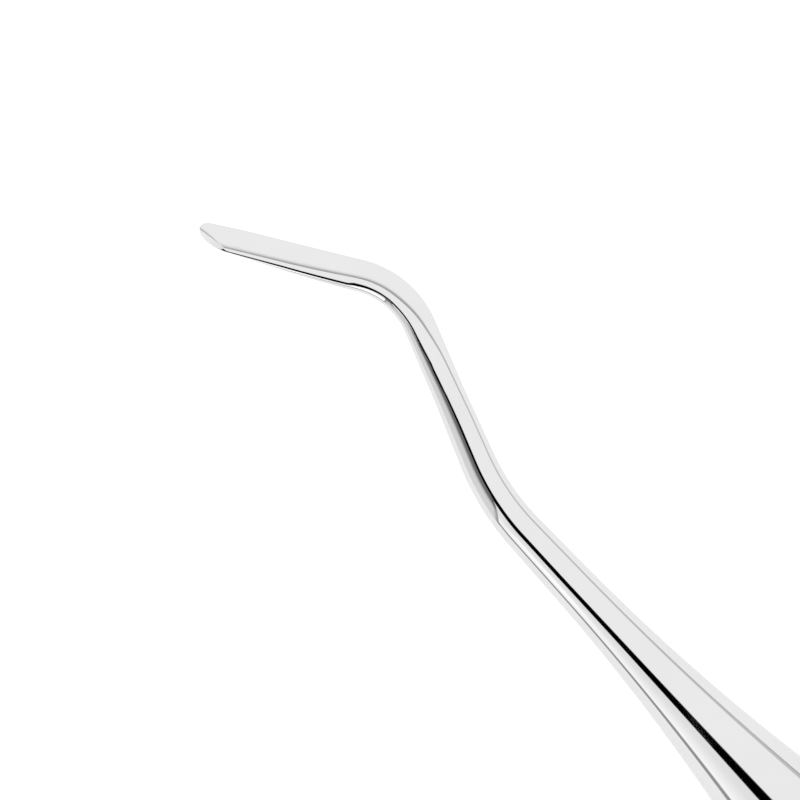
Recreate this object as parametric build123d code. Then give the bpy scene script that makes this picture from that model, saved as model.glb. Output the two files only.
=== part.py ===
"""Curved dental elevator: a forged working end brazed into a hollow eight-sided handle.

Frame: millimetres, +Z up. The handle lies on a table on one of its flats, its axis along X, and the
working end points along +X. Both bends lie in the plane of the handle's axis, parallel to the table,
and the shank leans towards -Y. The origin is the middle of the handle's lower flat.
"""
from build123d import *
from math import cos, radians, sin, sqrt, tan
import os

# ---------------------------------------------------------------- driving dimensions
ACROSS_FLATS = 12.0          # handle, flat to flat
CORNER_R = 6.4               # the handle's corners are turned down to this radius
GRIP_LENGTH = 64.0           # full eight-sided stretch
MOUTH_TAPER = 7.0            # shell, from the full section to its mouth
CAP_LENGTH = 4.5             # end cap, outside the shell
BUTT_FLAT_R = 3.2            # flat face on the butt

NECK_LENGTH = 44.0           # shoulder to the corner of the shank bend
NECK_TIP_R = 1.91            # neck radius at the corner of the shank bend
NECK_SLOPE = 0.029           # straight taper of the thin part of the neck, radius per length
FLARE_START = 11.0           # where the taper turns into the flare, from the same corner
FLARE_CURVE = 0.00476        # the flare's curvature

SHANK_LENGTH = 23.2          # corner to corner
SHANK_R = 1.64               # radius of its thin half
SHANK_TURN = 19.75           # degrees, neck to shank, towards -Y
SHANK_BEND_R = 24.9          # centreline radius
BLADE_TURN = 52.85           # degrees, shank to blade, back towards +Y
BLADE_BEND_R = 8.9           # centreline radius
BLADE_LENGTH = 21.1          # corner to tip

FACE_TILT = 48.0             # degrees between straight up and the normal of the blade's flat face
FACE_CROWN = 3.0             # degrees, half the arc of the nearly flat face
RIDGE_TURN = 62.0            # degrees from the face's normal to where the inner edge's radius changes
BACK_CROWN = 35.0            # degrees, half the arc of the convex back
FACE_DROP = 0.0475           # the face runs towards the bar's axis by this much per millimetre
RIDGE_R_TIP = 0.30           # upper radius of the inner edge at the tip
RIDGE_R_GROWTH = 0.022       # its growth per millimetre
RIDGE_FROM = 20.5            # distances from the tip between which it grows to the bar's radius
RIDGE_TO = 29.0
KEEL_R_TIP = 0.05            # lower radius of the inner edge at the tip
KEEL_R_GROWTH = 0.065        # its growth per millimetre along the blade
KEEL_GROWTH_FROM = 3.0       # where that starts, from the tip, and how far it goes on
KEEL_GROWTH_LENGTH = 13.0
KEEL_FROM = 19.5             # distances from the tip between which it grows on to the bar's radius
KEEL_TO = 36.0
BLADE_TAPER = 0.066          # narrowing of the blade per millimetre, all on its inner side
TAPER_FROM = 13.0            # distance from the tip where the narrowing starts
TAPER_EASE = 8.0             # length over which it sets in, half of it past that point
SIDE_ROUNDING = 0.12         # the outer side curves in by this much at the tip
SIDE_ROUNDING_FROM = 5.0

TIP_SIDE = 0.8               # tip's offset from the blade's axis, towards the outer side
NOSE_LENGTH = 3.2            # long inner curve of the nose
CORNER_LENGTH = 0.9          # short outer corner of the nose
TIP_BACK = 0.1               # tip's distance past the nominal blade length
NOSE_RIDGE_R = 0.38          # added to the upper radius of the inner edge on the nose
NOSE_RIDGE_LENGTH = 1.0      # length it is added to in full, before it fades out over the nose
NOSE_START = 0.004           # the tip's small flat end, as a part of the nose's length

TANG_R = 2.5
TANG_FLAT = 2.1              # half the width across the tang's two flats
TANG_LENGTH = 30.0
SOCKET_R = 4.0
SOCKET_LENGTH = 24.0
SOCKET_FLANGE_LENGTH = 4.0
PIN_R = 1.0
PIN_SETBACK = 3.0            # pin's axis, in front of the socket's flange
SHELL_BORE_R = 4.9
BRAZE_THICKNESS = 0.25
BRAZE_SINK = 0.12            # the braze lies this far under the steel beside it
CAP_LAND = 1.0               # full eight-sided edge of the cap, before its dome
CAP_SPIGOT_LENGTH = 6.0
GROOVE_COUNT = 16
GROOVE_PITCH = 2.6
GROOVE_WIDTH = 1.1
GROOVE_BOTTOM_R = 6.08       # just above the flats, so the grooves only notch the corners

# ---------------------------------------------------------------- derived stations
AXIS_Z = ACROSS_FLATS / 2
GRIP_FRONT = GRIP_LENGTH / 2
GRIP_REAR = -GRIP_LENGTH / 2
SHOULDER_X = GRIP_FRONT + MOUTH_TAPER
NECK_CORNER_X = SHOULDER_X + NECK_LENGTH
BUTT_X = GRIP_REAR - CAP_LENGTH
SOCKET_REAR_X = SHOULDER_X - SOCKET_LENGTH
FLANGE_X = SOCKET_REAR_X + SOCKET_FLANGE_LENGTH
MOUTH_X = SHOULDER_X - BRAZE_THICKNESS
CAP_X = GRIP_REAR - BRAZE_THICKNESS
FLARE_RUN = NECK_LENGTH - FLARE_START
FLARE_R = NECK_TIP_R + NECK_SLOPE * FLARE_START
SHOULDER_SLOPE = NECK_SLOPE + FLARE_CURVE * FLARE_RUN
SHOULDER_R = FLARE_R + (NECK_SLOPE + SHOULDER_SLOPE) / 2 * FLARE_RUN

SHANK_TANGENT = SHANK_BEND_R * tan(radians(SHANK_TURN / 2))
BLADE_TANGENT = BLADE_BEND_R * tan(radians(BLADE_TURN / 2))
BLADE_STRAIGHT = BLADE_LENGTH - BLADE_TANGENT
BLADE_ARC = BLADE_BEND_R * radians(BLADE_TURN)
SHANK_STRAIGHT = SHANK_LENGTH - BLADE_TANGENT - SHANK_TANGENT
SHANK_ARC = SHANK_BEND_R * radians(SHANK_TURN)
CENTRELINE_LENGTH = BLADE_STRAIGHT + BLADE_ARC + SHANK_STRAIGHT + SHANK_ARC
NECK_START_R = NECK_TIP_R + NECK_SLOPE * SHANK_TANGENT
SHANK_TAPER_FROM = BLADE_STRAIGHT + BLADE_ARC + SHANK_STRAIGHT / 2


def ease(value, start, end):
    """0 before start, 1 after end, and a smooth curve between them."""
    part = min(max((value - start) / (end - start), 0.0), 1.0)
    return part * part * (3 - 2 * part)


# ---------------------------------------------------------------- centreline of the bent bar
def centreline():
    """Tip to neck: straight blade, bend, straight shank, bend."""
    neck_corner = Vector(NECK_CORNER_X, 0, AXIS_Z)
    shank_way = Vector(cos(radians(SHANK_TURN)), -sin(radians(SHANK_TURN)), 0)
    blade_angle = radians(BLADE_TURN - SHANK_TURN)
    blade_way = Vector(cos(blade_angle), sin(blade_angle), 0)
    blade_corner = neck_corner + shank_way * SHANK_LENGTH
    tip = blade_corner + blade_way * BLADE_LENGTH
    neck_end = neck_corner - Vector(SHANK_TANGENT, 0, 0)
    corners = [tip, blade_corner, neck_corner, neck_end - Vector(1, 0, 0)]
    return FilletPolyline(*corners, radius=[BLADE_BEND_R, SHANK_BEND_R])


def section_plane(path, station):
    """Plane across the bar at a distance from the tip: local X runs along the blade's flat face
    towards its outer edge, and local Y is the face's outward normal."""
    if station < BLADE_STRAIGHT:
        towards_neck = path.tangent_at(0)
        point = path.position_at(0) + towards_neck * station
    else:
        towards_neck = path.tangent_at(station, position_mode=PositionMode.LENGTH)
        point = path.position_at(station, position_mode=PositionMode.LENGTH)
    up = Vector(0, 0, 1)
    outer = up.cross(towards_neck)
    tilt = radians(FACE_TILT)
    along_face = outer * cos(tilt) - up * sin(tilt)
    return Plane(origin=point, x_dir=along_face, z_dir=towards_neck)


# ---------------------------------------------------------------- section of the bar
def sine(angle):
    return sin(radians(angle))


def cosine(angle):
    return cos(radians(angle))


def bar_radius(station):
    """Radius of the round bar: even on the thin half of the shank, then growing to the neck's."""
    grown = max(station - SHANK_TAPER_FROM, 0.0) / (CENTRELINE_LENGTH - SHANK_TAPER_FROM)
    return SHANK_R + (NECK_START_R - SHANK_R) * grown


def ridge_radius(station):
    """Upper radius of the inner edge: softened on the nose, and the bar's own past the blade bend."""
    blade = RIDGE_R_TIP + RIDGE_R_GROWTH * min(station, RIDGE_FROM)
    blade += NOSE_RIDGE_R * (1 - ease(station, NOSE_RIDGE_LENGTH, NOSE_LENGTH - TIP_BACK))
    round_part = ease(station, RIDGE_FROM, RIDGE_TO)
    return blade * (1 - round_part) + bar_radius(station) * round_part


def keel_radius(station):
    """Lower radius of the inner edge: nearly sharp at the tip, and the bar's own halfway up the shank."""
    grown = min(max(station - KEEL_GROWTH_FROM, 0.0), KEEL_GROWTH_LENGTH)
    blade = KEEL_R_TIP + KEEL_R_GROWTH * grown
    round_part = ease(station, KEEL_FROM, KEEL_TO)
    return blade * (1 - round_part) + bar_radius(station) * round_part


def face_height(station):
    """Height of the flat face over the bar's axis, square to the face."""
    return bar_radius(station) - FACE_DROP * max(RIDGE_TO - station, 0.0)


def narrowing(station):
    """How much narrower the blade is here than the bar, with a soft start."""
    run = max(TAPER_FROM + TAPER_EASE / 2 - station, 0.0)
    if run < TAPER_EASE:
        return BLADE_TAPER * run * run / (2 * TAPER_EASE)
    return BLADE_TAPER * (run - TAPER_EASE / 2)


def side_limits(station):
    """Inner and outer limit of the section, square to the axis and level with the table."""
    bar = bar_radius(station)
    outer = bar - SIDE_ROUNDING * (1 - ease(station, 0.0, SIDE_ROUNDING_FROM))
    inner = -bar + narrowing(station)
    nose_end = NOSE_LENGTH - TIP_BACK
    if station < nose_end:
        depth = TIP_SIDE - inner
        inner = TIP_SIDE - depth * sqrt(1 - ((nose_end - station) / NOSE_LENGTH) ** 2)
    corner_end = CORNER_LENGTH - TIP_BACK
    if station < corner_end:
        depth = bar - SIDE_ROUNDING * (1 - ease(corner_end, 0.0, SIDE_ROUNDING_FROM)) - TIP_SIDE
        outer = TIP_SIDE + depth * sqrt(1 - ((corner_end - station) / CORNER_LENGTH) ** 2)
    return inner, outer


def section_arcs(station):
    """The section as arcs, clockwise from the face's inner end: (radius, end angle of the normal).

    Angles are measured from the face's normal towards the outer edge. The inner edge's two radii and
    the section's height are given; the other three radii are those that close the outline.
    """
    inner, outer = side_limits(station)
    height = outer - inner
    ridge = min(ridge_radius(station), height / 2)
    keel = min(keel_radius(station), height / 2)
    back_start = 180 - BACK_CROWN
    edge = ridge * (cosine(FACE_CROWN) - cosine(RIDGE_TURN))
    edge += keel * (cosine(RIDGE_TURN) - cosine(back_start))
    edge /= cosine(FACE_CROWN) - cosine(back_start)
    level = RIDGE_TURN - FACE_TILT
    covered = ridge * (sine(FACE_TILT - FACE_CROWN) + sine(level)) + keel * (1 - sine(level))
    covered += edge * (1 - sine(FACE_TILT + FACE_CROWN))
    face = (height - covered) / (2 * cosine(FACE_TILT) * sine(FACE_CROWN))
    back = 2 * face * sine(FACE_CROWN) + ridge * (sine(RIDGE_TURN) - sine(FACE_CROWN))
    back += keel * (sine(back_start) - sine(RIDGE_TURN)) + edge * (sine(back_start) - sine(FACE_CROWN))
    back /= 2 * sine(BACK_CROWN)
    return [
        (face, FACE_CROWN),
        (edge, back_start),
        (back, 360 - back_start),
        (keel, 360 - RIDGE_TURN),
        (ridge, 360 - FACE_CROWN),
    ]


def section_outline(station, steps=2):
    """Points along the section's arcs, each arc in so many steps, in the section plane's own X and Y.

    The face's middle is at the face's height, and the inner edge reaches the inner side limit.
    """
    arcs = section_arcs(station)
    point = Vector(0, 0)
    angle = -FACE_CROWN
    runs = []
    for radius, end in arcs:
        run = [point]
        for step in range(1, steps + 1):
            turned_to = angle + (end - angle) * step / steps
            arm = Vector(sine(turned_to) - sine(angle), cosine(turned_to) - cosine(angle))
            run.append(point + arm * radius)
        runs.append(run)
        point, angle = run[-1], end
    rise = face_height(station) - arcs[0][0] * (1 - cosine(FACE_CROWN))
    keel, keel_end = arcs[3]
    innermost = 360 - 90 - FACE_TILT
    arm = Vector(sine(innermost) - sine(keel_end), cosine(innermost) - cosine(keel_end))
    inner_point = runs[3][-1] + arm * keel
    seen = inner_point.X * cosine(FACE_TILT) + (inner_point.Y + rise) * sine(FACE_TILT)
    shift = Vector((side_limits(station)[0] - seen) / cosine(FACE_TILT), rise)
    return [[spot + shift for spot in run] for run in runs]


def section_wire(path, station):
    """Closed outline of five arcs: face, outer edge, back, and the inner edge's keel and ridge."""
    plane = section_plane(path, station)
    arcs = []
    for run in section_outline(station):
        arcs.append(ThreePointArc(*[plane.from_local_coords(spot) for spot in run]))
    return Wire(arcs)


def stations():
    """Distances from the tip at which the bar's section is given, closer together on the nose."""
    nose_parts = (NOSE_START, 0.02, 0.05, 0.1, 0.18, 0.3, 0.45, 0.6, 0.75, 0.9)
    nose = [NOSE_LENGTH * part - TIP_BACK for part in nose_parts]
    blade = [4.2, 6.0, 8.0, 10.0, 12.0, 13.5, 15.5]
    bend = [17.0, 18.5, 20.0, 21.5, 23.0, BLADE_STRAIGHT + BLADE_ARC]
    shank_end = BLADE_STRAIGHT + BLADE_ARC + SHANK_STRAIGHT
    shank = [26.0, 27.5, RIDGE_TO, SHANK_TAPER_FROM, (SHANK_TAPER_FROM + shank_end) / 2, shank_end]
    neck_bend = [shank_end + SHANK_ARC * part for part in (0.25, 0.5, 0.75, 1.0)]
    return nose + blade + bend + shank + neck_bend


def bent_bar():
    """Blade, both bends and shank as one smooth solid."""
    path = centreline()
    return Solid.make_loft([section_wire(path, station) for station in stations()])


# ---------------------------------------------------------------- turned shapes about the X axis
def turned(x_low, x_high, radius):
    middle = (x_low + x_high) / 2
    return Pos(middle, 0, 0) * Rot(0, 90, 0) * Cylinder(radius, x_high - x_low)


def ring(x_low, x_high, outer, inner):
    return turned(x_low, x_high, outer) - turned(x_low, x_high, inner)


def octagon_bar(x_low, x_high):
    """Eight-sided bar with one flat facing down."""
    outline = RegularPolygon(ACROSS_FLATS / 2, 8, major_radius=False)
    bar = extrude(Plane.YZ * Rot(0, 0, 360 / 16) * outline, x_high - x_low)
    return Pos(x_low, 0, 0) * bar


def tang_bar(x_low):
    """Round bar with two flats, from so far back up to the shoulder."""
    block = Box(SHOULDER_X - x_low, 2 * TANG_FLAT, 4 * TANG_R)
    return turned(x_low, SHOULDER_X, TANG_R) & Pos((x_low + SHOULDER_X) / 2, 0, 0) * block


def pin_cylinder(length):
    """Cross pin, square to the tang's flats."""
    return Pos(FLANGE_X + PIN_SETBACK, 0, 0) * Rot(90, 0, 0) * Cylinder(PIN_R, length)


# ---------------------------------------------------------------- forging
def neck_and_tang():
    """Turned part of the forging: thin neck, flare, shoulder and the tang with its two flats."""
    thin_end_x = NECK_CORNER_X - SHANK_TANGENT
    flare_x = NECK_CORNER_X - FLARE_START
    outline = [
        Line((thin_end_x, 0), (thin_end_x, NECK_START_R)),
        Line((thin_end_x, NECK_START_R), (flare_x, FLARE_R)),
        TangentArc((flare_x, FLARE_R), (SHOULDER_X, SHOULDER_R), tangent=(-1, NECK_SLOPE)),
        Line((SHOULDER_X, SHOULDER_R), (SHOULDER_X, 0)),
        Line((SHOULDER_X, 0), (thin_end_x, 0)),
    ]
    neck = revolve(make_face(Plane.XY * Wire(outline)), axis=Axis.X)
    tang = tang_bar(SHOULDER_X - TANG_LENGTH) - pin_cylinder(4 * TANG_R)
    return Pos(0, 0, AXIS_Z) * (neck + tang)


def working_end():
    """Tang, shoulder, neck, shank and blade: one piece of steel."""
    return neck_and_tang() + bent_bar()


# ---------------------------------------------------------------- handle
def shell_envelope():
    """Turned outline of the shell: straight grip, then a curve that meets the neck's flare."""
    outline = [
        Line((GRIP_REAR, 0), (GRIP_REAR, CORNER_R)),
        Line((GRIP_REAR, CORNER_R), (GRIP_FRONT, CORNER_R)),
        TangentArc((GRIP_FRONT, CORNER_R), (MOUTH_X, SHOULDER_R), tangent=(1, 0)),
        Line((MOUTH_X, SHOULDER_R), (MOUTH_X, 0)),
        Line((MOUTH_X, 0), (GRIP_REAR, 0)),
    ]
    return revolve(make_face(Plane.XY * Wire(outline)), axis=Axis.X)


def handle_shell():
    """Hollow grip: notched corners, and a bore that steps down where the socket's flange bears."""
    shell = shell_envelope() & octagon_bar(GRIP_REAR, MOUTH_X)
    first = -GROOVE_PITCH * (GROOVE_COUNT - 1) / 2
    for index in range(GROOVE_COUNT):
        low = first + GROOVE_PITCH * index - GROOVE_WIDTH / 2
        shell -= ring(low, low + GROOVE_WIDTH, ACROSS_FLATS, GROOVE_BOTTOM_R)
    shell -= turned(GRIP_REAR, FLANGE_X, SHELL_BORE_R)
    shell -= turned(FLANGE_X, MOUTH_X, SOCKET_R)
    return Pos(0, 0, AXIS_Z) * shell


def tang_socket():
    """Insert that fills the shell's mouth; its flange bears on the step in the shell's bore."""
    socket = turned(FLANGE_X, SHOULDER_X, SOCKET_R) + turned(SOCKET_REAR_X, FLANGE_X, SHELL_BORE_R)
    socket -= tang_bar(SOCKET_REAR_X)
    socket -= pin_cylinder(4 * SOCKET_R)
    return Pos(0, 0, AXIS_Z) * socket


def tang_pin():
    return Pos(0, 0, AXIS_Z) * (pin_cylinder(4 * SOCKET_R) & turned(GRIP_REAR, SHOULDER_X, SOCKET_R))


def front_braze_ring():
    return Pos(0, 0, AXIS_Z) * ring(MOUTH_X, SHOULDER_X, SHOULDER_R - BRAZE_SINK, SOCKET_R)


def rear_braze_ring():
    return Pos(0, 0, AXIS_Z) * ring(CAP_X, GRIP_REAR, ACROSS_FLATS / 2 - BRAZE_SINK, SHELL_BORE_R)


def end_cap():
    """Eight-sided plug with a domed, flat-ended butt and a spigot inside the shell."""
    land_x = CAP_X - CAP_LAND
    outline = [
        Line((CAP_X, 0), (CAP_X, CORNER_R)),
        Line((CAP_X, CORNER_R), (land_x, CORNER_R)),
        TangentArc((land_x, CORNER_R), (BUTT_X, BUTT_FLAT_R), tangent=(-1, 0)),
        Line((BUTT_X, BUTT_FLAT_R), (BUTT_X, 0)),
        Line((BUTT_X, 0), (CAP_X, 0)),
    ]
    dome = revolve(make_face(Plane.XY * Wire(outline)), axis=Axis.X) & octagon_bar(BUTT_X, CAP_X)
    spigot = turned(CAP_X, GRIP_REAR + CAP_SPIGOT_LENGTH, SHELL_BORE_R)
    return Pos(0, 0, AXIS_Z) * (dome + spigot)


NODES = {
    "working_end": working_end,
    "handle_shell": handle_shell,
    "tang_socket": tang_socket,
    "tang_pin": tang_pin,
    "front_braze_ring": front_braze_ring,
    "end_cap": end_cap,
    "rear_braze_ring": rear_braze_ring,
}

os.makedirs("parts", exist_ok=True)
for node_name, make in NODES.items():
    export_step(make(), f"parts/{node_name}.step")
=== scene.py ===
"""Looks of the curved dental elevator, in the CAD model's own frame: metres, +Z up, handle along X.

The forged working end, the handle shell and the end cap are rebuilt here as fine smooth meshes with
rounded edges, on the same dimensions as the CAD nodes they stand for. The socket, the pin and the two
braze rings stay as the CAD made them and get their materials here.
"""
import math

import bmesh
import bpy
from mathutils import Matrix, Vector


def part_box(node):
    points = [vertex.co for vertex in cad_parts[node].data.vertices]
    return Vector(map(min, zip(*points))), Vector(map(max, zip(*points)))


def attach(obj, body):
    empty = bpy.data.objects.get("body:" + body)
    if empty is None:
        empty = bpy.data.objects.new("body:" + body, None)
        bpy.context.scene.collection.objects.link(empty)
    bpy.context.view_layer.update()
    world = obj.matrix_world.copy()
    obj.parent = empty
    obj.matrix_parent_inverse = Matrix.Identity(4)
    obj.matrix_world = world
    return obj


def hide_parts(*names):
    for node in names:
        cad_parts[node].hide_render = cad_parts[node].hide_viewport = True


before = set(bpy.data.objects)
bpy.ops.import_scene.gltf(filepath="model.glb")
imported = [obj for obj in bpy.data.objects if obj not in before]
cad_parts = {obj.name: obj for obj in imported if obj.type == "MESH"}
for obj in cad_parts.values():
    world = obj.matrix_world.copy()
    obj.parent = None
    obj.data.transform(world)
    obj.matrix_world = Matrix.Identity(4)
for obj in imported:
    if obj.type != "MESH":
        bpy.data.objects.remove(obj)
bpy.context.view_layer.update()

MM = 0.001

# ---------------------------------------------------------------- dimensions read from the frame (mm)
SHELL_LOW, SHELL_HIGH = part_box("handle_shell")
CAP_LOW, CAP_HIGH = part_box("end_cap")
FORGING_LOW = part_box("working_end")[0]
FRONT_BRAZE_LOW, FRONT_BRAZE_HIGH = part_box("front_braze_ring")
SOCKET_LOW, SOCKET_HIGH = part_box("tang_socket")

ACROSS_FLATS = (SHELL_HIGH.z - SHELL_LOW.z) / MM
AXIS_Z = ACROSS_FLATS / 2
GRIP_REAR = SHELL_LOW.x / MM
MOUTH_X = SHELL_HIGH.x / MM
SHOULDER_X = FRONT_BRAZE_HIGH.x / MM
CAP_X = FRONT_BRAZE_LOW.x / MM - MOUTH_X + GRIP_REAR - (SHOULDER_X - MOUTH_X)
BUTT_X = CAP_LOW.x / MM
SPIGOT_END_X = CAP_HIGH.x / MM
TANG_END_X = FORGING_LOW.x / MM
SOCKET_REAR_X = SOCKET_LOW.x / MM
SHELL_BORE_R = (SOCKET_HIGH.y - SOCKET_LOW.y) / 2 / MM

# ---------------------------------------------------------------- dimensions repeated from part.py (mm)
CORNER_R = 6.4
GRIP_FRONT = 32.0
CAP_LAND = 1.0
BUTT_FLAT_R = 3.2
SOCKET_R = 4.0
SOCKET_FLANGE_LENGTH = 4.0
GROOVE_COUNT = 16
GROOVE_PITCH = 2.6
GROOVE_WIDTH = 1.1
GROOVE_BOTTOM_R = 6.08
TANG_R = 2.5
TANG_FLAT = 2.1

NECK_LENGTH = 44.0
NECK_TIP_R = 1.91
NECK_SLOPE = 0.029
FLARE_START = 11.0
FLARE_CURVE = 0.00476
SHANK_LENGTH = 23.2
SHANK_R = 1.64
SHANK_TURN = 19.75
SHANK_BEND_R = 24.9
BLADE_TURN = 52.85
BLADE_BEND_R = 8.9
BLADE_LENGTH = 21.1
FACE_TILT = 48.0
FACE_CROWN = 3.0
RIDGE_TURN = 62.0
BACK_CROWN = 35.0
FACE_DROP = 0.0475
RIDGE_R_TIP = 0.30
RIDGE_R_GROWTH = 0.022
RIDGE_FROM = 20.5
RIDGE_TO = 29.0
KEEL_R_TIP = 0.05
KEEL_R_GROWTH = 0.065
KEEL_GROWTH_FROM = 3.0
KEEL_GROWTH_LENGTH = 13.0
KEEL_FROM = 19.5
KEEL_TO = 36.0
BLADE_TAPER = 0.066
TAPER_FROM = 13.0
TAPER_EASE = 8.0
SIDE_ROUNDING = 0.12
SIDE_ROUNDING_FROM = 5.0
TIP_SIDE = 0.8
NOSE_LENGTH = 3.2
CORNER_LENGTH = 0.9
TIP_BACK = 0.1

# ---------------------------------------------------------------- bevel ground across the nose (mm)
# The CAD rounds the ridge at the nose instead. Here two cuts take that corner off: a narrow flat along
# the bevel's edge, and past it the steeper bevel itself.
BEVEL_START = 0.23           # distance from the tip of the bevel's edge, on the outer side
BEVEL_SIDE = 0.73            # and its offset from the blade's axis there
BEVEL_SLOPE = 0.66           # slope of that edge across the flat face
BEVEL_TILTS = (6.5, 19.0)    # degrees off the blade's flat face, of the narrow flat and of the bevel
BEVEL_LINE = 0.25            # width of the narrow flat
BEVEL_REACH = 5.0            # the cuts only touch this much of the blade

NECK_CORNER_X = SHOULDER_X + NECK_LENGTH
SHANK_TANGENT = SHANK_BEND_R * math.tan(math.radians(SHANK_TURN / 2))
BLADE_TANGENT = BLADE_BEND_R * math.tan(math.radians(BLADE_TURN / 2))
BLADE_STRAIGHT = BLADE_LENGTH - BLADE_TANGENT
BLADE_ARC = BLADE_BEND_R * math.radians(BLADE_TURN)
SHANK_STRAIGHT = SHANK_LENGTH - BLADE_TANGENT - SHANK_TANGENT
SHANK_ARC = SHANK_BEND_R * math.radians(SHANK_TURN)
CENTRELINE_LENGTH = BLADE_STRAIGHT + BLADE_ARC + SHANK_STRAIGHT + SHANK_ARC
NECK_START_R = NECK_TIP_R + NECK_SLOPE * SHANK_TANGENT
SHANK_TAPER_FROM = BLADE_STRAIGHT + BLADE_ARC + SHANK_STRAIGHT / 2

# ---------------------------------------------------------------- fineness of the meshes
RING_POINTS = 288            # points round the forging
RING_STEP = 0.3              # mm between rings along the forging
NOSE_RINGS = 40
NOSE_CROWDING = 2.5          # power that crowds those rings towards the tip
TANG_SPACES = 4              # spaces between the rings of the tang
MOUTH_STEP = 0.35            # mm between rings along the handle's mouth
DOME_RINGS = 24
HALF_FLAT = 22.5             # degrees from the middle of one of the handle's flats to its corner
TURN_STEP = 2.5              # degrees between points round the handle
EDGE_TURN_STEP = 0.4         # and near an edge
SHARP_ANGLE = 35             # degrees, from here on an edge is not smoothed

# ---------------------------------------------------------------- small roundings (mm)
EDGE_SOFTNESS = 0.02         # how softly flats and turned surfaces meet
END_ROUNDING = 0.08          # at the handle's end edges
MOUTH_ROUNDING = 0.04        # at the edge of its mouth
GROOVE_WALL = 0.06           # run of a groove's wall
GROOVE_LIP = 0.02            # how much the wall's top edge is rounded off
GROOVE_FOOT = 0.03           # and how much its foot is filled

LEAST_SINE = 0.001           # keeps a division by a sine from running away


def sine(angle):
    return math.sin(math.radians(angle))


def cosine(angle):
    return math.cos(math.radians(angle))


def ease(value, start, end):
    """0 before start, 1 after end, and a smooth curve between them."""
    part = min(max((value - start) / (end - start), 0.0), 1.0)
    return part * part * (3 - 2 * part)


# ---------------------------------------------------------------- the forging's section, as in the CAD
def bar_radius(station):
    grown = max(station - SHANK_TAPER_FROM, 0.0) / (CENTRELINE_LENGTH - SHANK_TAPER_FROM)
    return SHANK_R + (NECK_START_R - SHANK_R) * grown


def ridge_radius(station):
    blade = RIDGE_R_TIP + RIDGE_R_GROWTH * min(station, RIDGE_FROM)
    round_part = ease(station, RIDGE_FROM, RIDGE_TO)
    return blade * (1 - round_part) + bar_radius(station) * round_part


def keel_radius(station):
    grown = min(max(station - KEEL_GROWTH_FROM, 0.0), KEEL_GROWTH_LENGTH)
    blade = KEEL_R_TIP + KEEL_R_GROWTH * grown
    round_part = ease(station, KEEL_FROM, KEEL_TO)
    return blade * (1 - round_part) + bar_radius(station) * round_part


def face_height(station):
    return bar_radius(station) - FACE_DROP * max(RIDGE_TO - station, 0.0)


def narrowing(station):
    """How much narrower the blade is here than the bar, with a soft start."""
    run = max(TAPER_FROM + TAPER_EASE / 2 - station, 0.0)
    if run < TAPER_EASE:
        return BLADE_TAPER * run * run / (2 * TAPER_EASE)
    return BLADE_TAPER * (run - TAPER_EASE / 2)


def side_limits(station):
    """Inner and outer limit of the section, square to the axis and level with the table."""
    bar = bar_radius(station)
    outer = bar - SIDE_ROUNDING * (1 - ease(station, 0.0, SIDE_ROUNDING_FROM))
    inner = -bar + narrowing(station)
    nose_end = NOSE_LENGTH - TIP_BACK
    if station < nose_end:
        depth = TIP_SIDE - inner
        inner = TIP_SIDE - depth * math.sqrt(1 - ((nose_end - station) / NOSE_LENGTH) ** 2)
    corner_end = CORNER_LENGTH - TIP_BACK
    if station < corner_end:
        depth = bar - SIDE_ROUNDING * (1 - ease(corner_end, 0.0, SIDE_ROUNDING_FROM)) - TIP_SIDE
        outer = TIP_SIDE + depth * math.sqrt(1 - ((corner_end - station) / CORNER_LENGTH) ** 2)
    return inner, outer


def section_arcs(station):
    """The section as (radius, end angle of the normal), clockwise from the flat face's inner end."""
    inner, outer = side_limits(station)
    height = outer - inner
    ridge = min(ridge_radius(station), height / 2)
    keel = min(keel_radius(station), height / 2)
    back_start = 180 - BACK_CROWN
    edge = ridge * (cosine(FACE_CROWN) - cosine(RIDGE_TURN))
    edge += keel * (cosine(RIDGE_TURN) - cosine(back_start))
    edge /= cosine(FACE_CROWN) - cosine(back_start)
    level = RIDGE_TURN - FACE_TILT
    covered = ridge * (sine(FACE_TILT - FACE_CROWN) + sine(level)) + keel * (1 - sine(level))
    covered += edge * (1 - sine(FACE_TILT + FACE_CROWN))
    face = (height - covered) / (2 * cosine(FACE_TILT) * sine(FACE_CROWN))
    back = 2 * face * sine(FACE_CROWN) + ridge * (sine(RIDGE_TURN) - sine(FACE_CROWN))
    back += keel * (sine(back_start) - sine(RIDGE_TURN))
    back += edge * (sine(back_start) - sine(FACE_CROWN))
    back /= 2 * sine(BACK_CROWN)
    return [
        (face, FACE_CROWN),
        (edge, back_start),
        (back, 360 - back_start),
        (keel, 360 - RIDGE_TURN),
        (ridge, 360 - FACE_CROWN),
    ]


def arc_end(point, radius, start, end):
    """Where an arc of the section ends, its ends given as directions of its normal."""
    return (
        point[0] + radius * (sine(end) - sine(start)),
        point[1] + radius * (cosine(end) - cosine(start)),
    )


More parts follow.
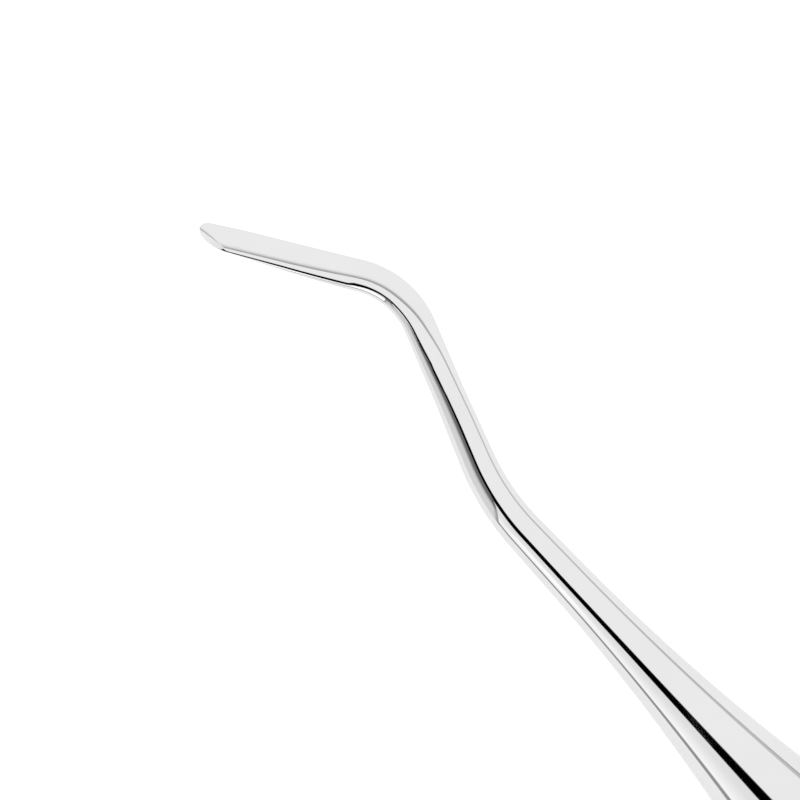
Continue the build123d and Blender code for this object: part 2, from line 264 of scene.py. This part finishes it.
def section_points(station, count):
    """Points round the section, spread half by length and half by turning, so tight edges get enough."""
    arcs = section_arcs(station)
    starts = [-FACE_CROWN] + [end for radius, end in arcs[:-1]]
    length = sum(radius * math.radians(end - start) for (radius, end), start in zip(arcs, starts))
    corners = [(0.0, 0.0)]
    shares = []
    for (radius, end), start in zip(arcs, starts):
        corners.append(arc_end(corners[-1], radius, start, end))
        turn = math.radians(end - start)
        shares.append(radius * turn / length / 2 + turn / math.tau / 2)
    points = []
    index, passed = 0, 0.0
    for step in range(count):
        wanted = step / count
        while index < len(shares) - 1 and wanted > passed + shares[index]:
            passed += shares[index]
            index += 1
        radius, end = arcs[index]
        start = starts[index]
        angle = start + (end - start) * (wanted - passed) / shares[index]
        points.append(arc_end(corners[index], radius, start, angle))
    rise = face_height(station) - arcs[0][0] * (1 - cosine(FACE_CROWN))
    keel, keel_end = arcs[3]  # this arc holds the innermost point of the tilted section
    inner_point = arc_end(corners[4], keel, keel_end, 270 - FACE_TILT)
    seen = inner_point[0] * cosine(FACE_TILT) + (inner_point[1] + rise) * sine(FACE_TILT)
    across = (side_limits(station)[0] - seen) / cosine(FACE_TILT)
    return [(x + across, y + rise) for x, y in points]


def centreline_point(station):
    """Point and direction towards the neck, at a distance from the tip along the centreline."""
    way = BLADE_TURN - SHANK_TURN
    shank_way = Vector((cosine(-SHANK_TURN), sine(-SHANK_TURN), 0))
    corner = Vector((NECK_CORNER_X, 0, AXIS_Z)) + shank_way * SHANK_LENGTH
    blade_way = Vector((cosine(way), sine(way), 0))
    point = corner + blade_way * (BLADE_LENGTH - min(station, BLADE_STRAIGHT))
    left = station - BLADE_STRAIGHT
    for length, radius, turn in (
        (BLADE_ARC, BLADE_BEND_R, -BLADE_TURN),
        (SHANK_STRAIGHT, None, 0.0),
        (SHANK_ARC, SHANK_BEND_R, SHANK_TURN),
    ):
        if left <= 0:
            break
        run = min(left, length)
        if radius is None:
            point = point - Vector((cosine(way), sine(way), 0)) * run
        else:
            bend = turn * run / length
            side = 1 if turn > 0 else -1
            centre = point + Vector((-sine(way), cosine(way), 0)) * (-side * radius)
            arm = point - centre
            point = centre + Vector(
                (
                    arm.x * cosine(bend) - arm.y * sine(bend),
                    arm.x * sine(bend) + arm.y * cosine(bend),
                    0,
                )
            )
            way += bend
        left -= length
    return point, Vector((-cosine(way), -sine(way), 0))


def section_frame(station):
    """Centre of a section, the way along the flat face, the face's normal and the way to the neck."""
    point, towards_neck = centreline_point(station)
    up = Vector((0, 0, 1))
    outer = up.cross(towards_neck)
    along_face = outer * cosine(FACE_TILT) - up * sine(FACE_TILT)
    return point, along_face, towards_neck.cross(along_face), towards_neck


def forging_ring(station):
    """The bar's section at a station, as points in space."""
    point, along_face, face_normal, towards_neck = section_frame(station)
    section = section_points(station, RING_POINTS)
    return [point + along_face * x + face_normal * y for x, y in section]


def round_ring(x, radius_of_turn):
    """Ring round the handle's axis, its points in the same order as the bar's."""
    ring = []
    for step in range(RING_POINTS):
        turned = 360 * step / RING_POINTS - FACE_CROWN + FACE_TILT
        radius = radius_of_turn(turned)
        ring.append(Vector((x, -radius * sine(turned), AXIS_Z + radius * cosine(turned))))
    return ring


def neck_radius(x):
    run = NECK_CORNER_X - x
    flared = max(run - FLARE_START, 0.0)
    return NECK_TIP_R + NECK_SLOPE * run + FLARE_CURVE * flared * flared / 2


def tang_radius(turned):
    flat = TANG_FLAT / max(abs(sine(turned)), LEAST_SINE)
    return min(TANG_R, flat)


def steps(start, end, step):
    count = max(round(abs(end - start) / step), 1)
    return [start + (end - start) * index / count for index in range(count + 1)]


# ---------------------------------------------------------------- meshes
def grind(mesh, point, normal, keep_below_x):
    """Cuts off what lies beyond a plane on the nose, and closes the cut with a sharp-edged face."""
    bm = bmesh.new()
    bm.from_mesh(mesh)
    reach = keep_below_x * MM
    faces = [face for face in bm.faces if min(vert.co.x for vert in face.verts) > reach]
    # Dicts and not sets: their order is the same each run, and so is the order of the mesh.
    edges = dict.fromkeys(edge for face in faces for edge in face.edges)
    verts = dict.fromkeys(vert for face in faces for vert in face.verts)
    cut = bmesh.ops.bisect_plane(
        bm, geom=[*verts, *edges, *faces], plane_co=point * MM, plane_no=normal, clear_outer=True
    )
    rim = [item for item in cut["geom_cut"] if isinstance(item, bmesh.types.BMEdge)]
    for face in bmesh.ops.edgeloop_fill(bm, edges=rim)["faces"]:
        face.smooth = True
        for edge in face.edges:
            edge.smooth = False
    bm.to_mesh(mesh)
    bm.free()


def bevel_nose(piece):
    """Grinds the bevel that runs across the blade's face on the nose, and the narrow flat before it."""
    point, along_face, face_normal, towards_neck = section_frame(BEVEL_START)
    height = face_height(BEVEL_START)
    side = (BEVEL_SIDE - height * sine(FACE_TILT)) / cosine(FACE_TILT)
    corner = point + along_face * side + face_normal * height
    normal = (face_normal - towards_neck * FACE_DROP).normalized()
    edge_way = (towards_neck + face_normal * FACE_DROP - along_face * BEVEL_SLOPE).normalized()
    off_nose = edge_way.cross(normal).normalized()
    reach_x = centreline_point(BEVEL_REACH)[0].x
    for tilt in BEVEL_TILTS:
        grind(piece.data, corner, normal * cosine(tilt) + off_nose * sine(tilt), reach_x)
        corner = corner + (off_nose * cosine(tilt) - normal * sine(tilt)) * BEVEL_LINE


def skin(name, rings, closed_loop=False):
    """Object from rings of points: quads between rings, and a fan over each end unless it is a loop."""
    mesh = bpy.data.meshes.new(name)
    bm = bmesh.new()
    rows = [[bm.verts.new(point * MM) for point in ring] for ring in rings]
    count = len(rings[0])
    pairs = list(zip(rows, rows[1:]))
    if closed_loop:
        pairs.append((rows[-1], rows[0]))
    for low, high in pairs:
        for index in range(count):
            after = (index + 1) % count
            bm.faces.new((low[index], low[after], high[after], high[index]))
    if not closed_loop:
        for row, ring, flip in ((rows[0], rings[0], True), (rows[-1], rings[-1], False)):
            middle = sum(ring, Vector()) / count
            hub = bm.verts.new(middle * MM)
            for index in range(count):
                after = (index + 1) % count
                if flip:
                    bm.faces.new((row[after], row[index], hub))
                else:
                    bm.faces.new((row[index], row[after], hub))
    bmesh.ops.recalc_face_normals(bm, faces=bm.faces)
    bm.to_mesh(mesh)
    bm.free()
    mesh.shade_smooth()
    mesh.set_sharp_from_angle(angle=math.radians(SHARP_ANGLE))
    piece = bpy.data.objects.new(name, mesh)
    bpy.context.scene.collection.objects.link(piece)
    return piece


def forging():
    """Blade, bends, shank, neck, shoulder and tang in one skin."""
    shares = [(step / NOSE_RINGS) ** NOSE_CROWDING for step in range(1, NOSE_RINGS + 1)]
    nose = [NOSE_LENGTH * share - TIP_BACK for share in shares]
    bar = steps(NOSE_LENGTH - TIP_BACK, CENTRELINE_LENGTH, RING_STEP)[1:]
    rings = [forging_ring(station) for station in nose + bar]
    neck_end = NECK_CORNER_X - SHANK_TANGENT
    for x in steps(neck_end, SHOULDER_X, RING_STEP)[1:]:
        rings.append(round_ring(x, lambda turned: neck_radius(x)))
    shoulder_r = neck_radius(SHOULDER_X)
    rings.append(round_ring(SHOULDER_X, lambda turned: (shoulder_r + TANG_R) / 2))
    for x in steps(SHOULDER_X, TANG_END_X, (SHOULDER_X - TANG_END_X) / TANG_SPACES):
        rings.append(round_ring(x, tang_radius))
    piece = skin("forged_working_end", rings)
    bevel_nose(piece)
    return piece


def soft_min(first, second):
    """The smaller of two lengths, with the edge where they meet slightly rounded."""
    gap = abs(first - second)
    return min(first, second) - EDGE_SOFTNESS * math.log1p(math.exp(-gap / EDGE_SOFTNESS))


def octagon_turns():
    """Directions round the handle, closer together at the edges of flats, corners and grooves."""
    corner_edge = math.degrees(math.acos(ACROSS_FLATS / 2 / CORNER_R))
    groove_edge = math.degrees(math.acos(ACROSS_FLATS / 2 / GROOVE_BOTTOM_R))
    half = [step * TURN_STEP for step in range(round(HALF_FLAT / TURN_STEP))]
    for edge in (corner_edge, groove_edge):
        half += [edge + step * EDGE_TURN_STEP for step in range(-2, 3)]
    half = sorted(set(round(turn, 3) for turn in half if 0 <= turn < HALF_FLAT))
    side = [-turn for turn in reversed(half) if turn > 0] + half + [HALF_FLAT]
    return [2 * HALF_FLAT * flat + turn for flat in range(8) for turn in side]


OCTAGON_TURNS = octagon_turns()


def handle_ring(x, corner_radius):
    """Ring of the eight-sided handle, its corners turned down to a radius."""
    ring = []
    for turn in OCTAGON_TURNS:
        off_flat = (turn + HALF_FLAT) % (2 * HALF_FLAT) - HALF_FLAT
        radius = soft_min(ACROSS_FLATS / 2 / cosine(off_flat), corner_radius)
        ring.append(Vector((x, -radius * sine(turn), AXIS_Z + radius * cosine(turn))))
    return ring


def plain_ring(x, radius):
    """Round ring with its points in the handle's directions."""
    return [
        Vector((x, -radius * sine(turn), AXIS_Z + radius * cosine(turn))) for turn in OCTAGON_TURNS
    ]


def arc_radius(x, start_x, end_x, start_r, end_r):
    """Radius along an arc that leaves start_x parallel to the axis and passes through the end."""
    run, drop = abs(end_x - start_x), start_r - end_r
    arc = (run * run + drop * drop) / (2 * drop)
    return start_r - arc + math.sqrt(max(arc * arc - (x - start_x) ** 2, 0.0))


def rounded_end(x, inward, corner_radius, size=END_ROUNDING):
    """Rings that round an end edge of the handle: (x, corner radius, shrink) from the face inwards."""
    rings = []
    for turn in (0, 30, 60, 90):
        rings.append((x + inward * size * (1 - cosine(turn)), corner_radius, size * (1 - sine(turn))))
    return rings


def shrunk(ring, amount):
    """The ring, moved towards the axis by an amount."""
    result = []
    for point in ring:
        arm = Vector((0, point.y, point.z - AXIS_Z))
        result.append(point - arm.normalized() * amount)
    return result


def groove_wall(edge, inward):
    """Rings of a groove's wall: (x, corner radius, shrink) from the corner down to the bottom."""
    profile = (
        (-1.0, CORNER_R),
        (0.0, CORNER_R - GROOVE_LIP),
        (0.25, (CORNER_R + GROOVE_BOTTOM_R) / 2),
        (0.5, GROOVE_BOTTOM_R + GROOVE_FOOT),
        (1.5, GROOVE_BOTTOM_R),
    )
    return [(edge + inward * runs * GROOVE_WALL, radius, 0) for runs, radius in profile]


def grip_shell():
    """Hollow eight-sided grip with ring notches across its corners and a tapered mouth."""
    sections = rounded_end(GRIP_REAR, 1, CORNER_R)
    first = -GROOVE_PITCH * (GROOVE_COUNT - 1) / 2
    for index in range(GROOVE_COUNT):
        low = first + GROOVE_PITCH * index - GROOVE_WIDTH / 2
        high = low + GROOVE_WIDTH
        sections += groove_wall(low, 1)
        sections += reversed(groove_wall(high, -1))
    mouth_r = neck_radius(SHOULDER_X)
    for x in steps(GRIP_FRONT, MOUTH_X, MOUTH_STEP)[:-1]:
        sections.append((x, arc_radius(x, GRIP_FRONT, MOUTH_X, CORNER_R, mouth_r), 0))
    sections += reversed(rounded_end(MOUTH_X, -1, mouth_r, MOUTH_ROUNDING))
    rings = [shrunk(handle_ring(x, radius), shrink) for x, radius, shrink in sections]
    flange_x = SOCKET_REAR_X + SOCKET_FLANGE_LENGTH
    bore = [(MOUTH_X, SOCKET_R), (flange_x, SOCKET_R)]
    bore += [(flange_x, SHELL_BORE_R), (GRIP_REAR, SHELL_BORE_R)]
    rings += [plain_ring(x, radius) for x, radius in bore]
    return skin("octagonal_grip_shell", rings, closed_loop=True)


def butt_cap():
    """Domed end cap with a flat butt and its spigot inside the shell."""
    land_x = CAP_X - CAP_LAND
    rings = [plain_ring(x, SHELL_BORE_R) for x in (SPIGOT_END_X, CAP_X)]
    for x, radius, shrink in rounded_end(CAP_X, -1, CORNER_R):
        rings.append(shrunk(handle_ring(x, radius), shrink))
    dome_r = land_x - BUTT_X
    for step in range(1, DOME_RINGS + 1):
        turn = 90 * step / DOME_RINGS
        x = land_x - dome_r * sine(turn)
        rings.append(handle_ring(x, arc_radius(x, land_x, BUTT_X, CORNER_R, BUTT_FLAT_R)))
    return skin("domed_butt_cap", rings)


# ---------------------------------------------------------------- materials
NOISE_RANGE = (0.3, 0.7)     # most of a noise texture's values lie between these
WHITE = (1, 1, 1, 1)


class Tree:
    """Short way to add and join shader nodes."""

    def __init__(self, tree):
        self.nodes, self.links = tree.nodes, tree.links
        self.nodes.clear()

    def add(self, kind, inputs=None, **settings):
        node = self.nodes.new(kind)
        for key, value in settings.items():
            setattr(node, key, value)
        for key, value in (inputs or {}).items():
            if isinstance(value, bpy.types.NodeSocket):
                self.links.new(value, node.inputs[key])
            else:
                node.inputs[key].default_value = value
        return node

    def math(self, operation, first, second=0.0, third=0.0):
        node = self.add("ShaderNodeMath", {0: first, 1: second, 2: third}, operation=operation)
        return node.outputs[0]

    def remap(self, value, low, high, to_low, to_high, smooth=False):
        node = self.add(
            "ShaderNodeMapRange",
            {"Value": value, "From Min": low, "From Max": high, "To Min": to_low, "To Max": to_high},
            interpolation_type="SMOOTHSTEP" if smooth else "LINEAR",
        )
        return node.outputs["Result"]

    def mix(self, factor, first, second):
        node = self.add("ShaderNodeMix", {"Factor": factor, "A": first, "B": second}, data_type="FLOAT")
        return node.outputs["Result"]

    def along(self, vector, axis):
        """How far a vector reaches along an axis."""
        node = self.add("ShaderNodeVectorMath", {0: vector, 1: tuple(axis)}, operation="DOT_PRODUCT")
        return node.outputs["Value"]

    def noise(self, vector, scale, detail=3.0, stretch=(1, 1, 1)):
        mapped = self.add("ShaderNodeMapping", {"Vector": vector, "Scale": stretch}).outputs["Vector"]
        node = self.add("ShaderNodeTexNoise", {"Vector": mapped, "Scale": scale, "Detail": detail})
        return node.outputs["Fac"]

    def tint(self, factor, dark, light):
        ramp = self.add("ShaderNodeValToRGB", {"Fac": factor})
        for stop, position, colour in zip(ramp.color_ramp.elements, NOISE_RANGE, (dark, light)):
            stop.position = position
            stop.color = (*colour, 1)
        return ramp.outputs["Color"]

    def bump(self, height, strength, distance):
        node = self.add("ShaderNodeBump", {"Strength": strength, "Distance": distance, "Height": height})
        return node.outputs["Normal"]


def new_material(name):
    material = bpy.data.materials.new(name)
    material.use_nodes = True
    tree = Tree(material.node_tree)
    place = tree.add("ShaderNodeTexCoord").outputs["Object"]
    return material, tree, place


def metal_shader(tree, colour, roughness, normal, anisotropy=0.0):
    look = {"Base Color": colour, "Roughness": roughness, "Normal": normal}
    look |= {"Metallic": 1.0, "Anisotropic": anisotropy}
    shader = tree.add("ShaderNodeBsdfPrincipled", look)
    tree.add("ShaderNodeOutputMaterial", {"Surface": shader.outputs["BSDF"]})


def polished_steel():
    """Mirror polish with faint wiping marks, hairline scratches and slightly uneven gloss."""
    material, tree, place = new_material("mirror_polished_steel")
    haze = tree.noise(place, scale=160.0)
    hairs = tree.noise(place, scale=900.0, detail=2.0, stretch=(0.06, 1, 1))
    cross_hairs = tree.noise(place, scale=700.0, detail=2.0, stretch=(1, 0.08, 1))
    noise_peaks = (0.66, 0.74)
    scratch = tree.remap(tree.math("MAXIMUM", hairs, cross_hairs), *noise_peaks, 0.0, 1.0, smooth=True)
    gloss = tree.remap(haze, *NOISE_RANGE, to_low=0.035, to_high=0.06)
    scratch_roughness = 0.05
    roughness = tree.math("MULTIPLY_ADD", scratch, scratch_roughness, gloss)
    colour = tree.tint(haze, dark=(0.825, 0.825, 0.825), light=(0.845, 0.845, 0.845))
    metal_shader(tree, colour, roughness, tree.bump(scratch, strength=0.01, distance=0.00002))
    return material


def satin_steel():
    """Satin finish: fine brushing round the handle, with corners worn a little brighter."""
    material, tree, place = new_material("satin_brushed_steel")
    brushing = tree.noise(place, scale=1500.0, detail=4.0, stretch=(1, 0.05, 0.05))
    patches = tree.noise(place, scale=90.0)
    raised = tree.add("ShaderNodeNewGeometry").outputs["Pointiness"]
    corner_range = (0.52, 0.60)
    worn = tree.remap(raised, *corner_range, 0.0, 1.0, smooth=True)
    wear_roughness, patch_roughness = -0.12, 0.05
    roughness = tree.remap(brushing, 0.25, 0.75, to_low=0.26, to_high=0.36)
    roughness = tree.math("MULTIPLY_ADD", worn, wear_roughness, roughness)
    roughness = tree.math("MULTIPLY_ADD", patches, patch_roughness, roughness)
    colour = tree.tint(patches, dark=(0.58, 0.58, 0.575), light=(0.65, 0.65, 0.645))
    normal = tree.bump(brushing, strength=0.25, distance=0.00001)
    metal_shader(tree, colour, roughness, normal, anisotropy=0.4)
    return material


def turned_steel():
    """As it comes from the lathe: fine rings and an uneven, duller surface."""
    material, tree, place = new_material("lathe_turned_steel")
    rings = tree.noise(place, scale=2500.0, detail=2.0, stretch=(1, 0.02, 0.02))
    stains = tree.noise(place, scale=220.0, detail=5.0)
    roughness = tree.remap(rings, *NOISE_RANGE, to_low=0.32, to_high=0.48)
    colour = tree.tint(stains, dark=(0.55, 0.55, 0.54), light=(0.66, 0.66, 0.65))
    metal_shader(tree, colour, roughness, tree.bump(rings, strength=0.5, distance=0.00002))
    return material


def silver_braze():
    """Flowed silver braze: warm, softly uneven, a little tarnished."""
    material, tree, place = new_material("silver_braze_metal")
    flow = tree.noise(place, scale=500.0)
    tarnish = tree.noise(place, scale=130.0, detail=4.0)
    roughness = tree.remap(tarnish, *NOISE_RANGE, to_low=0.18, to_high=0.34)
    colour = tree.tint(tarnish, dark=(0.70, 0.66, 0.58), light=(0.82, 0.79, 0.72))
    metal_shader(tree, colour, roughness, tree.bump(flow, strength=0.4, distance=0.00004))
    return material


# ---------------------------------------------------------------- assembly
def dress(piece, material):
    piece.data.materials.clear()
    piece.data.materials.append(material)


def place_piece(piece, node, material):
    dress(piece, material)
    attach(piece, "root")
    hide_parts(node)


mirror = polished_steel()
satin = satin_steel()
turned_metal = turned_steel()
braze = silver_braze()
place_piece(forging(), "working_end", mirror)
place_piece(grip_shell(), "handle_shell", satin)
place_piece(butt_cap(), "end_cap", satin)
for node_name, material in (
    ("tang_socket", turned_metal),
    ("tang_pin", turned_metal),
    ("front_braze_ring", braze),
    ("rear_braze_ring", braze),
):
    node_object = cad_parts[node_name]
    for material_slot in node_object.material_slots:
        material_slot.material = material

# ---------------------------------------------------------------- camera: straight down, long lens (mm)
VIEW_TURN = 47.1             # degrees the handle's axis is turned in the picture
AIM_FROM_NECK_CORNER = Vector((13.72, 0.12))
VIEW_WIDTH = 80.0            # across the picture, at the height of the handle's axis
CAMERA_HEIGHT = 600.0
PICTURE_RIGHT = Vector((-cosine(VIEW_TURN), -sine(VIEW_TURN), 0))
PICTURE_UP = Vector((sine(VIEW_TURN), -cosine(VIEW_TURN), 0))
AIM = Vector((NECK_CORNER_X + AIM_FROM_NECK_CORNER.x, AIM_FROM_NECK_CORNER.y, AXIS_Z))


def make_camera():
    data = bpy.data.cameras.new("camera")
    data.lens = data.sensor_width * CAMERA_HEIGHT / VIEW_WIDTH
    camera = bpy.data.objects.new("camera", data)
    bpy.context.scene.collection.objects.link(camera)
    camera.location = (AIM + Vector((0, 0, CAMERA_HEIGHT))) * MM
    camera.rotation_euler = (0, 0, math.atan2(PICTURE_RIGHT.y, PICTURE_RIGHT.x))
    bpy.context.scene.camera = camera


# ---------------------------------------------------------------- floor (metres)
FLOOR_R = 3.0
FLOOR_SEGMENTS = 96
FLOOR_ALBEDO = (0.44, 0.45)  # it is very slightly uneven
FLOOR_GRAIN = 30.0           # scale of the unevenness
FLOOR_ROUGHNESS = 0.9
LIGHT_POOL = 0.61            # the floor's own light near the instrument
LIGHT_POOL_FADE = (0.12, 0.30)  # distances from the instrument between which that light fades out
FLOOR_SEEN = 0.85            # least light of its own where the camera sees it directly


def make_floor():
    """Plain white table with some light of its own, as if lit from below near the instrument."""
    mesh = bpy.data.meshes.new("floor")
    bm = bmesh.new()
    bmesh.ops.create_circle(bm, cap_ends=True, segments=FLOOR_SEGMENTS, radius=FLOOR_R)
    bm.to_mesh(mesh)
    bm.free()
    floor = bpy.data.objects.new("floor", mesh)
    bpy.context.scene.collection.objects.link(floor)
    material, tree, place = new_material("white_table")
    centre = (AIM.x * MM, AIM.y * MM, 0)
    offset = tree.add("ShaderNodeVectorMath", {0: place, 1: centre}, operation="DISTANCE")
    pool = tree.remap(offset.outputs["Value"], *LIGHT_POOL_FADE, LIGHT_POOL, 0.0, smooth=True)
    seen_directly = tree.add("ShaderNodeLightPath").outputs["Is Camera Ray"]
    glow = tree.math("MAXIMUM", pool, tree.math("MULTIPLY", seen_directly, FLOOR_SEEN))
    dark, light = ((albedo,) * 3 for albedo in FLOOR_ALBEDO)
    grain = tree.tint(tree.noise(place, FLOOR_GRAIN), dark, light)
    look = {"Base Color": grain, "Roughness": FLOOR_ROUGHNESS, "Specular IOR Level": 0.0}
    look |= {"Emission Color": WHITE, "Emission Strength": glow}
    shader = tree.add("ShaderNodeBsdfPrincipled", look)
    tree.add("ShaderNodeOutputMaterial", {"Surface": shader.outputs["BSDF"]})
    dress(floor, material)


# ---------------------------------------------------------------- grey card standing on the table (mm)
CARD_DISTANCE = 100.0        # from the middle of the picture
CARD_TURN = 204.6            # degrees, its direction in the picture
CARD_WIDTH = 67.0
CARD_HEIGHT = 230.0
CARD_SLANT = (6.5, -13.5)    # one side leans: further out at the foot, further in at the top
CARD_LIGHT = (0.76, 0.17)    # its brightness at the foot and at the top
CARD_FADE = (63.0, 143.0)    # heights between which it darkens
CARD_EDGE = 5.0              # width of the darker strip along the leaning side
CARD_EDGE_LIGHT = 0.4        # share of the light left at that side


def make_card():
    """Grey card that gives the shank its dark side; it shows in reflections only."""
    way = PICTURE_RIGHT * cosine(CARD_TURN) + PICTURE_UP * sine(CARD_TURN)
    side = Vector((-way.y, way.x, 0))
    foot = Vector((AIM.x, AIM.y, 0)) + way * CARD_DISTANCE
    half = CARD_WIDTH / 2
    low_slant, top_slant = CARD_SLANT
    top = Vector((0, 0, CARD_HEIGHT))
    corners = [foot - side * half, foot + side * (half + low_slant)]
    corners += [foot + side * (half + top_slant) + top, foot - side * half + top]
    mesh = bpy.data.meshes.new("grey_card")
    mesh.from_pydata([corner * MM for corner in corners], [], [(0, 1, 2, 3)])
    card = bpy.data.objects.new("grey_card", mesh)
    bpy.context.scene.collection.objects.link(card)
    material, tree, place = new_material("grey_card")
    height = tree.add("ShaderNodeSeparateXYZ", {0: place}).outputs["Z"]
    light = tree.remap(height, CARD_FADE[0] * MM, CARD_FADE[1] * MM, *CARD_LIGHT, smooth=True)
    corner_side = (foot.dot(side) + half + low_slant) * MM
    past_corner = tree.math("SUBTRACT", tree.along(place, side), corner_side)
    past_edge = tree.math("MULTIPLY_ADD", height, (low_slant - top_slant) / CARD_HEIGHT, past_corner)
    edge = tree.remap(past_edge, -CARD_EDGE * MM, 0.0, 1.0, CARD_EDGE_LIGHT, smooth=True)
    light = tree.math("MULTIPLY", light, edge)
    glow = tree.add("ShaderNodeEmission", {"Color": WHITE, "Strength": light})
    tree.add("ShaderNodeOutputMaterial", {"Surface": glow.outputs["Emission"]})
    dress(card, material)
    card.visible_camera = False
    card.visible_diffuse = False
    card.visible_shadow = False


# ---------------------------------------------------------------- light: a white tent round everything
TENT_LIGHT = 0.98            # brightness overhead and on the right
FLAG_NEAR = -0.186           # a black flag crosses it left of the zenith: tangents of its two edges
FLAG_FAR = -0.507
FLAG_EDGE = 0.02             # half the width over which those edges blur
WALL_RISE = (0.743, 0.174)   # past the flag the tent brightens downwards, between these sines
WALL_LIGHT = (0.88, 1.12)    # from the first brightness to the second
LAMP_TURN = 237.0            # degrees in the picture, a soft bright patch low on that wall
LAMP_LEAN = 64.0             # degrees from the zenith
LAMP_SPREAD = (17.0, 8.0)    # degrees, its outer and inner edge
LAMP_LIGHT = 0.4             # added to the wall
HORIZON_RISE = (6.5, 10.5)   # degrees, where the dim band between table and tent fades out
HORIZON_LIGHT = (0.33, 0.60)  # its brightness on the left and on the right
BACKDROP_SEEN = 1.05         # brightness of the tent where the camera sees it directly
LEAST_RISE = 0.02            # keeps the division by the sine of the height from running away


def make_light():
    """White tent with a black flag, a lamp on the wall past it and a dim band at the horizon."""
    world = bpy.data.worlds.new("white_tent")
    bpy.context.scene.world = world
    world.use_nodes = True
    tree = Tree(world.node_tree)
    way = tree.add("ShaderNodeTexCoord").outputs["Generated"]
    rise = tree.add("ShaderNodeSeparateXYZ", {0: way}).outputs["Z"]
    across = tree.math("DIVIDE", tree.along(way, PICTURE_RIGHT), tree.math("MAXIMUM", rise, LEAST_RISE))
    past_near, past_far = (
        tree.remap(across, edge + FLAG_EDGE, edge - FLAG_EDGE, 0.0, 1.0, smooth=True)
        for edge in (FLAG_NEAR, FLAG_FAR)
    )
    wall = tree.remap(rise, *WALL_RISE, *WALL_LIGHT)
    lamp_way = PICTURE_RIGHT * cosine(LAMP_TURN) + PICTURE_UP * sine(LAMP_TURN)
    lamp_way = lamp_way * sine(LAMP_LEAN) + Vector((0, 0, cosine(LAMP_LEAN)))
    outer, inner = (cosine(angle) for angle in LAMP_SPREAD)
    lamp = tree.remap(tree.along(way, lamp_way), outer, inner, 0.0, LAMP_LIGHT, smooth=True)
    left = tree.mix(past_far, 0.0, tree.math("ADD", wall, lamp))
    tent = tree.mix(past_near, TENT_LIGHT, left)
    band = tree.remap(across, -1.0, 1.0, *HORIZON_LIGHT, smooth=True)
    low, high = (sine(angle) for angle in HORIZON_RISE)
    light = tree.mix(tree.remap(rise, low, high, 0.0, 1.0, smooth=True), band, tent)
    seen_directly = tree.add("ShaderNodeLightPath").outputs["Is Camera Ray"]
    strength = tree.mix(seen_directly, light, BACKDROP_SEEN)
    background = tree.add("ShaderNodeBackground", {"Color": WHITE, "Strength": strength})
    tree.add("ShaderNodeOutputWorld", {"Surface": background.outputs["Background"]})


make_camera()
make_floor()
make_card()
make_light()
bpy.context.scene.view_settings.view_transform = "Standard"
